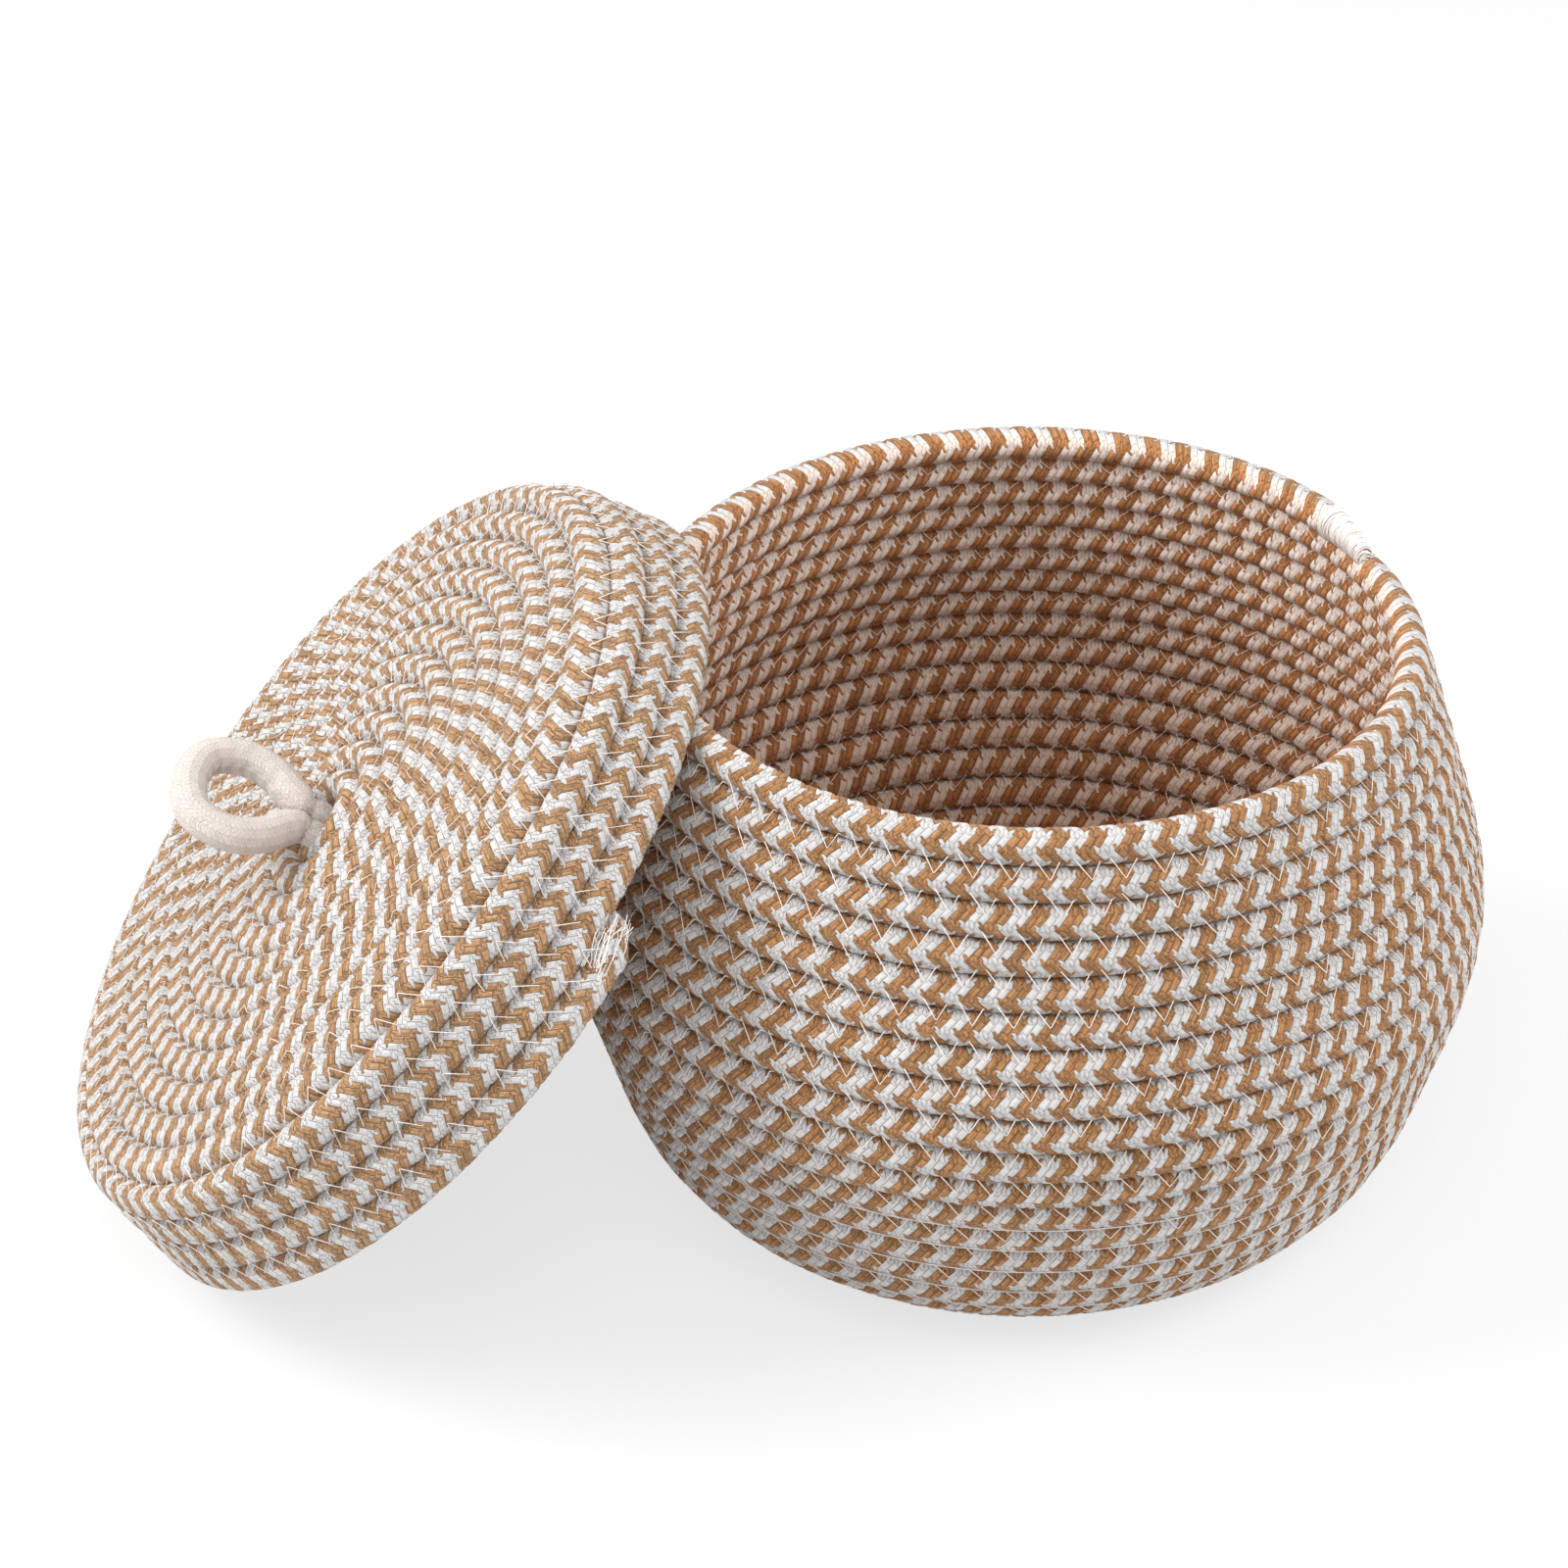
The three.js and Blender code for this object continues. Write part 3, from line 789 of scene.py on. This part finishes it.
@dataclass
class Seam:
    """The zigzag stitches that join each row of a coil to the next."""

    coil: Coil
    face: Face
    step: float = 7.95
    rise: float = 0.04
    down: float = 0.4
    turn: float = 0.07
    up: float = 0.24
    upper_reach: float = 2.5
    lower_reach: float = 2.3
    return_reach: float = 0.65
    hidden_reach: float = 0.8
    height: float = 3.72
    hidden_height: float = 1.6
    jitter: float = 0.2
    sway: float = 0.12
    radius: float = 0.12

    @classmethod
    def for_face(cls, coil: Coil, face: Face) -> "Seam":
        """Returns the seam of one face: the inner one is finer and keeps close to the crevice."""
        if face is Face.OUTER:
            return cls(coil, face)
        return cls(coil, face, upper_reach=1.9, lower_reach=1.3, radius=0.09)

    def line(self, first: float, last: float, seed: int) -> Array:
        """Returns the thread's points between two lengths along the rope.

        Each stitch comes up out of the crevice, runs down over the lower row and back up
        into the crevice, where it is out of sight until the next one.

        Args:
            first: Length where the stitches start.
            last: Length where they end.
            seed: Seed of the unevenness.

        Returns:
            Points in millimetres.
        """
        rng = np.random.default_rng(seed)
        count = int((last - first) / self.step)
        turned = self.down + self.turn
        back = turned + self.up
        shares = np.array([0.0, self.rise, self.rise + self.down, turned, back, back + self.rise])
        run = first + (np.arange(count)[:, None] + shares) * self.step
        run += np.repeat(rng.normal(0, self.jitter, (count, 3)), 2, axis=1)
        top, low, under = -self.upper_reach, self.lower_reach, -self.hidden_reach
        across = np.array([under, top, low, low, self.return_reach * top, under])
        across = across + rng.normal(0, self.sway, run.shape)
        up, sunk = self.height, self.hidden_height
        out = np.broadcast_to(np.array([sunk, up, up, up, up, sunk]), run.shape) * self.face.value
        turns = self.coil.turns_at(np.clip(run, 0, self.coil.run[-1]))
        return self.coil.at(turns, across, out, row=0.5).reshape(-1, 3)

    def build(self, name: str, first: float, last: float, seed: int, kit: Kit) -> Piece:
        """Builds the stitches between two lengths along the rope."""
        return thread(name, [self.line(first, last, seed)], self.radius, kit)


# The object


@dataclass
class BasketBody:
    """The basket: one rope coiled from the rim down and in to the middle of the base."""

    kit: Kit
    rim: Sequence[tuple] = (
        (88.8, 147.3),
        (99.2, 115.2),
        (109.4, 74.8),
        (102.7, 41.5),
        (94.0, 17.6),
        (81.4, 5.4),
        (72.0, 3.2),
    )
    end_angle: float = 33.0
    core_radius: float = 1.0
    tip: float = 16.0
    splits: Sequence[float] = (0.0, 5.6, 11.4, 17.5)
    seam_gap: float = 1.2
    wraps: int = 64
    wrap_points: int = 13
    wrap_radius: float = 0.19
    foot_turns: tuple[float, float] = (11.6, 17.4)
    foot_across: float = -1.5
    foot_out: float = 3.36
    foot_radius: float = 0.17
    coil: Coil = field(init=False)

    def __post_init__(self) -> None:
        """Builds the coil's meridian."""
        wall = spline(self.rim, 60)
        floor = np.array([[r, self.rim[-1][1]] for r in np.linspace(self.rim[-1][0], 0, 60)[1:]])
        place = Matrix.Translation((AXIS_X, AXIS_Y, 0.0))
        self.coil = Coil(np.vstack([wall, floor]), self.end_angle, 1, 1, place, self.core_radius)

    def build(self) -> None:
        """Builds the rope, the seams, the foot's thread and the bound rope end."""
        rope = BraidedRope(self.coil, self.kit, self.kit.rope, self.tip)
        marks = rope.marks(self.splits)
        labels = [(f"wall_rope_{i + 1}", "wall_coil", SEED + i) for i in range(3)]
        labels.append(("base_rope", "base_coil", SEED + 9))
        for (name, node, seed), first, last in zip(labels, marks[:-1], marks[1:]):
            finish_piece(rope.build(name, first, last, seed), Body.BASKET, Slot.ROPE, node)
        half = self.coil.run_at(self.splits[2])
        last = self.coil.run_at(self.coil.turns[-1] - self.seam_gap)
        for face in Face:
            seam = Seam.for_face(self.coil, face)
            for i, (start, end) in enumerate(((0.0, half), (half, last))):
                name = f"basket_seam_{face.name.lower()}_{i + 1}"
                piece = seam.build(name, start, end, SEED + 20 + i + 5 * face.value, self.kit)
                finish_piece(piece, Body.BASKET, Slot.THREAD)
        self.run_thread()
        self.bind_end(rope)

    def run_thread(self) -> None:
        """Lays the thread that shows along the crevices of the lowest rows."""
        turns = np.arange(*self.foot_turns, 0.005)
        across = self.foot_across + 0.25 * slow_noise(turns * 40.0, 1.7, 11)
        line = self.coil.at(turns, across, np.full_like(turns, self.foot_out), row=0.5)
        piece = thread("foot_thread", [line], self.foot_radius, self.kit)
        finish_piece(piece, Body.BASKET, Slot.THREAD)

    def bind_end(self, rope: BraidedRope) -> None:
        """Binds the rope's tapered end onto the row below with a dense tack of thin thread."""
        rng = np.random.default_rng(SEED)
        angle = np.radians(np.linspace(-65, 245, self.wrap_points))
        lines = []
        for start in np.linspace(0.5, self.tip - 0.9, self.wraps):
            lean, height = rng.normal(0, 0.6), rng.uniform(0.1, 0.5)
            run = -start + np.linspace(lean, -lean - 0.5, self.wrap_points)
            lines.append(self.coil.at(self.coil.turns_at(run), *rope.around(run, angle, height)))
        piece = thread("rim_tack", lines, self.wrap_radius, self.kit)
        finish_piece(piece, Body.BASKET, Slot.THREAD, "rim_tip")


@dataclass
class Lid:
    """The lid: one rope coiled from the skirt's edge up and in over the top."""

    kit: Kit
    top_radius: float = 99.6
    flare: float = 5.3
    skirt: float = 24.0
    corner_drop: float = 6.2
    corner_inset: float = 8.4
    dome: float = 2.0
    end_angle: float = 33.0
    core_radius: float = 6.2
    tip: float = 9.0
    splits: Sequence[float] = (0.0, 5.3)
    rope_half_width: float = 4.5
    crown_turn: float = 4.4
    seam_gap: float = 1.55
    fibres: int = 170
    fibre_radius: float = 0.11
    place: Matrix = field(
        default_factory=lambda: Matrix(
            (
                (0.18567, 0.67887, -0.7104, -143.77674),
                (-0.98261, 0.12827, -0.13423, -24.27106),
                (0.0, 0.72297, 0.69088, 77.34723),
                (0.0, 0.0, 0.0, 1.0),
            )
        )
    )
    coil: Coil = field(init=False)

    def __post_init__(self) -> None:
        """Builds the coil's meridian: the skirt, a rounded corner and the domed top."""
        crown = self.skirt + self.corner_drop
        edge = np.array([self.top_radius + self.flare, 0.0])
        top = np.array([self.top_radius, self.skirt])
        corner = np.array([self.top_radius - self.flare / self.skirt * self.corner_drop, crown])
        shoulder = np.array([self.top_radius - self.corner_inset, crown])
        w = np.linspace(0, 1, 60)[:, None]
        bend = (1 - w) ** 2 * top + 2 * w * (1 - w) * corner + w**2 * shoulder
        side = edge + np.linspace(0, 1, 60, endpoint=False)[:, None] * (top - edge)
        flat = shoulder + np.linspace(0, 1, 60)[1:, None] * (np.array([0.0, crown + self.dome]) - shoulder)
        meridian = np.vstack([side, bend, flat])
        self.coil = Coil(meridian, self.end_angle, -1, -1, self.place, self.core_radius)

    def build(self) -> None:
        """Builds the rope, the seams and the frayed rope end."""
        material, width = self.kit.lid_rope, self.rope_half_width
        rope = BraidedRope(self.coil, self.kit, material, self.tip, half_width=width)
        marks = rope.marks(self.splits)
        for i, (first, last) in enumerate(zip(marks[:-1], marks[1:])):
            piece = rope.build(f"lid_rope_{i + 1}", first, last, SEED + 40 + i)
            finish_piece(piece, Body.LID, Slot.ROPE, "lid_coil")
        crown = self.coil.run_at(self.crown_turn)
        last = self.coil.run_at(self.coil.turns[-1] - self.seam_gap)
        skirt = Seam.for_face(self.coil, Face.OUTER)
        top = Seam(self.coil, Face.OUTER, upper_reach=1.5, lower_reach=1.2, radius=0.09)
        inner = Seam.for_face(self.coil, Face.INNER)
        seams = (("skirt", skirt, 0.0, crown), ("top", top, crown, last), ("inner", inner, 0.0, last))
        for i, (label, seam, start, end) in enumerate(seams):
            piece = seam.build(f"lid_seam_{label}", start, end, SEED + 60 + i, self.kit)
            finish_piece(piece, Body.LID, Slot.THREAD)
        self.fray_end()

    def fray_end(self) -> None:
        """Frays the rope's outer end into a tuft of loose yarn ends."""
        rng = np.random.default_rng(SEED + 3)
        lines = []
        w = np.linspace(0, 1, 9)
        for _ in range(self.fibres):
            angle, spread = rng.uniform(0, 2 * math.pi), rng.uniform(0.85, 1.1)
            start, reach = rng.uniform(1.0, 7.0), rng.uniform(4.0, 10.0)
            size = ROPE_RADIUS * spread * (1.08 - 0.25 * w)
            curl = rng.normal(0, 1.3, 2)[:, None] * np.sin(w * rng.uniform(2.0, 6.0) + angle) * w
            along = 1.0 - size * math.sin(angle) + 1.8 * w + curl[0]
            out = size * math.cos(angle) + curl[1]
            turns = self.coil.turns_at(start - w * reach + 0.8 * np.sin(w * 5.0 + 3.0 * angle))
            lines.append(self.coil.at(turns, along, out))
        piece = thread("skirt_fray", lines, self.fibre_radius, self.kit)
        finish_piece(piece, Body.LID, Slot.THREAD, "skirt_tip")


@dataclass
class CordLoop:
    """The cord loop in the middle of the lid, and the two tails that hold it."""

    kit: Kit
    lid: Lid
    radius: float = 4.5
    tail_radius: float = 3.5
    length: float = 28.2
    half_width: float = 12.8
    turn: float = -15.0
    tilt: float = 22.0
    across: float = 3.0
    along: float = 0.4
    lift: float = 39.6
    under: float = 28.6
    columns: int = 12
    column_steps: int = 4
    rings: int = 12
    lean: float = 0.25
    period: float = 4.8
    taper: float = 7.0

    def axes(self) -> tuple[Array, Array, Array, Array]:
        """Returns the hinge point, the way across, the way that the loop stands and the lid's axis."""
        turn = np.array(self.lid.place)
        x, y, z = turn[:3, 0], turn[:3, 1], turn[:3, 2]
        t, a = math.radians(self.turn), math.radians(self.tilt)
        across = math.cos(t) * x + math.sin(t) * y
        side = np.cross(z, across)
        stand = math.cos(a) * z - math.sin(a) * side
        pivot = turn[:3, 3] + self.across * x + self.along * y + self.lift * z
        return pivot, across, stand, z

    def sweep(self, name: str, path: Array, radius: Array, across: Array) -> Piece:
        """Sweeps braided cord along a path that lies in one plane.

        Args:
            name: The piece's name.
            path: Points in millimetres.
            radius: The cord's radius at each point.
            across: A direction in the path's plane.

        Returns:
            The piece.
        """
        run = polyline_length(path)
        steps = int(run[-1] / self.period * self.rings)
        ring = np.arange(steps + 1) / self.rings
        column = np.arange(self.columns * self.column_steps) / self.column_steps
        shift = self.lean * np.abs((column / 2) % 1 * 2 - 1)
        at = np.clip((ring[:, None] + shift[None, :]) * self.period, 0, run[-1])
        ahead = np.gradient(path, run, axis=0)
        ahead /= np.linalg.norm(ahead, axis=1)[:, None]
        normal = np.cross(ahead[len(ahead) // 2], across)
        normal /= np.linalg.norm(normal)
        centre = np.stack([np.interp(at, run, path[:, i]) for i in range(3)], -1)
        tangent = np.stack([np.interp(at, run, ahead[:, i]) for i in range(3)], -1)
        side = np.cross(normal, tangent)
        side /= np.linalg.norm(side, axis=-1)[..., None]
        size = np.interp(at, run, radius)[..., None]
        angle = (column / self.columns * 2 * math.pi)[None, :, None]
        points = centre + size * (np.cos(angle) * normal + np.sin(angle) * side)
        mesh = tube_mesh(name, points, column, ring, self.columns)
        inputs = {"Strand Depth": 0.08 * MM, "Yarn Depth": 0.08 * MM, "Column Depth": 0.2 * MM}
        inputs |= {"Unevenness": 0.35 * MM, "Seed": 3.0, "Material": self.kit.cord}
        return grow(name, mesh, self.kit.relief, inputs)

    def build(self) -> None:
        """Builds the loop and its tails."""
        pivot, across, stand, axis = self.axes()
        side = self.tail_radius + 0.15
        spread = self.half_width - side
        # Half of the loop's outline: the distance across and the height of each point
        half = [
            (side, -0.8 * self.tail_radius),
            (side, 0.0),
            (side + 0.2 * spread, 0.12 * self.length),
            (side + 0.74 * spread, 0.32 * self.length),
            (self.half_width, 0.6 * self.length),
            (0.72 * self.half_width, 0.9 * self.length),
        ]
        shape = half + [(0.0, self.length)] + [(-x, z) for x, z in reversed(half)]
        flat = spline(shape, 24)
        path = pivot + flat[:, :1] * across + flat[:, 1:] * stand
        run = polyline_length(path)
        near = np.minimum(run, run[-1] - run)
        grown = np.clip(near / self.taper, 0, 1)
        radius = self.tail_radius + (self.radius - self.tail_radius) * grown * grown * (3 - 2 * grown)
        radius *= np.sqrt(np.clip(near / 3.0 + 0.12, 0.1, 1))
        piece = self.sweep("loop_cord", path, radius, across)
        finish_piece(piece, Body.LOOP, Slot.CORD, "handle_loop")
        for label, sign in (("a", 1), ("b", -1)):
            foot = pivot + sign * side * across + (self.under - self.lift) * axis
            head = pivot + sign * side * across
            path = foot + np.linspace(0, 1, 20)[:, None] * (head - foot)
            run = polyline_length(path)
            radius = self.tail_radius * np.sqrt(np.clip((run[-1] - run) / 3.0 + 0.15, 0.1, 1))
            piece = self.sweep(f"loop_tail_{label}", path, radius, np.cross(axis, across))
            finish_piece(piece, Body.LID, Slot.CORD, "loop_tails")


@dataclass
class Studio:
    """A pale floor, soft light and the photograph's camera."""

    focal: float = 83.25
    eye: tuple[float, float, float] = (0.0, -743.4, 584.1)
    yaw: float = -4.48
    pitch: float = 33.12
    roll: float = -1.20
    soft_light: float = 0.47
    floor_size: float = 6.0
    floor_level: float = -0.0002
    floor_grey: float = 0.76
    floor_glow: float = 0.72
    aim: tuple[float, float, float] = (-0.05, 0.0, 0.07)
    lamps: Sequence[tuple] = (
        ("key", (-1.35, -0.1, 1.25), 30.5, 1.0),
        ("side", (1.35, 0.0, 1.1), 17.0, 1.0),
        ("high", (0.1, -0.9, 1.9), 12.0, 1.0),
        ("front", (-0.15, -1.2, 0.8), 2.6, 0.8),
    )

    def camera(self) -> None:
        """Places the camera."""
        yaw, pitch, roll = (math.radians(v) for v in (self.yaw, self.pitch, self.roll))
        ahead = Vector((math.sin(yaw) * math.cos(pitch), math.cos(yaw) * math.cos(pitch), -math.sin(pitch)))
        right = ahead.cross(Vector((0, 0, 1))).normalized()
        up = right.cross(ahead)
        cos, sin = math.cos(roll), math.sin(roll)
        right, up = cos * right + sin * up, cos * up - sin * right
        data = bpy.data.cameras.new("camera")
        data.lens = self.focal
        data.sensor_width = 36.0
        data.clip_end = 20.0
        camera = new_object("camera", data)
        turn = Matrix((right, up, -ahead)).transposed().to_4x4()
        eye = Vector(self.eye) + Vector((AXIS_X, AXIS_Y, 0.0))
        camera.matrix_world = Matrix.Translation(eye * MM) @ turn
        bpy.context.scene.camera = camera

    def world(self) -> None:
        """Makes the world white to the camera and a soft grey light to the object."""
        world = bpy.data.worlds.new("studio")
        bpy.context.scene.world = world
        world.use_nodes = True
        world.node_tree.nodes.clear()
        tree = Tree(world.node_tree)
        soft = tree.add("ShaderNodeBackground", {"Color": WHITE, "Strength": self.soft_light})
        plain = tree.add("ShaderNodeBackground", {"Color": WHITE, "Strength": 1.0})
        shares = {0: seen_rays(tree), 1: soft.outputs[0], 2: plain.outputs[0]}
        both = tree.add("ShaderNodeMixShader", shares)
        tree.add("ShaderNodeOutputWorld", {"Surface": both.outputs[0]})

    def floor(self) -> None:
        """Lays a white floor that keeps the object's shadow."""
        size = self.floor_size
        corners = [(x * size, y * size, self.floor_level) for x, y in ((-1, -1), (1, -1), (1, 1), (-1, 1))]
        mesh = bpy.data.meshes.new("floor")
        mesh.from_pydata(corners, [], [(0, 1, 2, 3)])
        floor = new_object("floor", mesh)
        material, tree = new_material("floor_white")
        matte = tree.add("ShaderNodeBsdfDiffuse", {"Color": (*[self.floor_grey] * 3, 1.0)})
        glow = tree.add("ShaderNodeEmission", {"Color": WHITE, "Strength": 1.0})
        share = tree.times(seen_rays(tree), self.floor_glow)
        both = tree.add("ShaderNodeMixShader", {0: share, 1: matte.outputs[0], 2: glow.outputs[0]})
        tree.add("ShaderNodeOutputMaterial", {"Surface": both.outputs[0]})
        floor.data.materials.append(material)

    def lamp(self, name: str, place: Sequence[float], power: float, size: float) -> None:
        """Hangs a square soft lamp that faces the basket."""
        data = bpy.data.lights.new(name, "AREA")
        data.energy = power
        data.size = size
        lamp = new_object(name, data)
        lamp.location = place
        ahead = Vector(self.aim) - lamp.location
        lamp.rotation_euler = ahead.to_track_quat("-Z", "Y").to_euler()

    def build(self) -> None:
        """Builds the camera, the world, the floor and the lamps."""
        bpy.context.scene.view_settings.view_transform = "Standard"
        self.camera()
        self.world()
        self.floor()
        for lamp in self.lamps:
            self.lamp(*lamp)


def main() -> None:
    """Builds the studio and every piece of the basket in order."""
    Studio().build()
    braid, painted_inside_light, spun = braid_pattern(), painted_inside_light_pattern(), thread_pattern()
    rope = BraidFinish(
        "rope_braid",
        pale=(0.715, 0.695, 0.685),
        pale_low=(0.62, 0.60, 0.585),
        dark=(0.55, 0.28, 0.113),
        dark_low=(0.27, 0.12, 0.042),
        # Painted light on the inner side, brighter and warmer, and painted shade towards the bottom of the
        # inside
        inner=(1.52, 1.33, 1.20),
        bottom_painted_shade=(1.06, 0.82, 0.66),
    )
    cream, cream_low = (0.69, 0.62, 0.575), (0.62, 0.55, 0.51)
    cord = BraidFinish(
        "cord_braid",
        cream,
        cream_low,
        cream,
        cream_low,
        yarns=2.0,
        fray=0.02,
        slant=-0.25,
        bump=0.16,
        gap_shade=0.76,
        tones=(0.95, 1.04),
    )
    white = ThreadFinish("sewing_thread", (0.90, 0.86, 0.83), (0.76, 0.71, 0.67))
    lid_rope = replace(rope, name="lid_braid", dark=(0.58, 0.345, 0.175), dark_low=(0.30, 0.155, 0.068))
    kit = Kit(
        rope.build(braid, painted_inside_light),
        lid_rope.build(braid, painted_inside_light),
        cord.build(braid, painted_inside_light),
        white.build(spun),
        relief_tree(),
        strand_tree(),
    )
    BasketBody(kit).build()
    lid = Lid(kit)
    lid.build()
    CordLoop(kit, lid).build()


if __name__ == "__main__":
    main()
